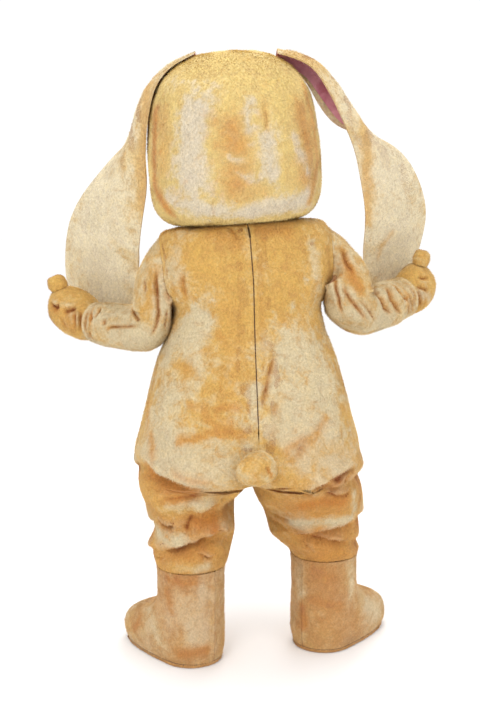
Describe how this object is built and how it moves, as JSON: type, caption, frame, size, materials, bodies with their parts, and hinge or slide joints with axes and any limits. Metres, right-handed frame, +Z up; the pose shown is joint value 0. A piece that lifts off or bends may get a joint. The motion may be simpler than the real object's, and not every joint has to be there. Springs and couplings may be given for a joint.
{
  "type": "rabbit mascot costume",
  "caption": "Plush rabbit mascot costume in its worn form: zipped jumpsuit with sleeves, mitts, boots and tail, and a hollow head with long lop ears.",
  "frame": {"origin": "middle of the neckline, where the wearer's neck and shoulders carry the costume", "axes": "+Y is the way the wearer faces, +X is to the wearer's right, +Z is up; the floor under the boots is at Z = -1.4 m"},
  "size_m": [1.299, 0.7492, 1.9212],
  "materials": {
    "tan_plush": "short pile plush, golden tan",
    "cream_plush": "short pile plush, cream",
    "pink_satin": "mauve pink satin",
    "pink_felt": "felt",
    "sole_felt": "dense brown felt",
    "brown_zip": "woven tape",
    "antique_brass": "dark antique",
    "black_plastic": "gloss"
  },
  "bodies": {
    "costume": {"body_back_left": "tan_plush", "body_back_right": "tan_plush", "body_front_left": "tan_plush", "body_front_right": "tan_plush", "sleeve_left": "tan_plush", "sleeve_right": "tan_plush", "mitt_left": "tan_plush", "mitt_right": "tan_plush", "thumb_left": "tan_plush", "thumb_right": "tan_plush", "boot_left_inner": "tan_plush", "boot_left_outer": "tan_plush", "boot_right_inner": "tan_plush", "boot_right_outer": "tan_plush", "boot_left_sole": "sole_felt", "boot_right_sole": "sole_felt", "head_back": "tan_plush", "head_face": "tan_plush", "ear_left": "tan_plush", "ear_right": "tan_plush", "ear_left_lining": "pink_satin", "ear_right_lining": "pink_satin", "muzzle": "cream_plush", "nose": "pink_felt", "eye_left": "black_plastic", "eye_right": "black_plastic", "tail": "tan_plush", "zip_tape_left": "brown_zip", "zip_tape_right": "brown_zip", "zip_chain": "antique_brass", "zip_slider": "antique_brass"},
    "pull_tab": {"zip_pull": "antique_brass"}
  },
  "joints": [
    {"name": "pull_tab_hinge", "type": "hinge", "parent": "costume", "child": "pull_tab", "pos_m": [-0.00578, -0.15684, -0.01927], "axis": [-0.9775, -0.1585, -0.139], "range_deg": [0, 110]}
  ]
}
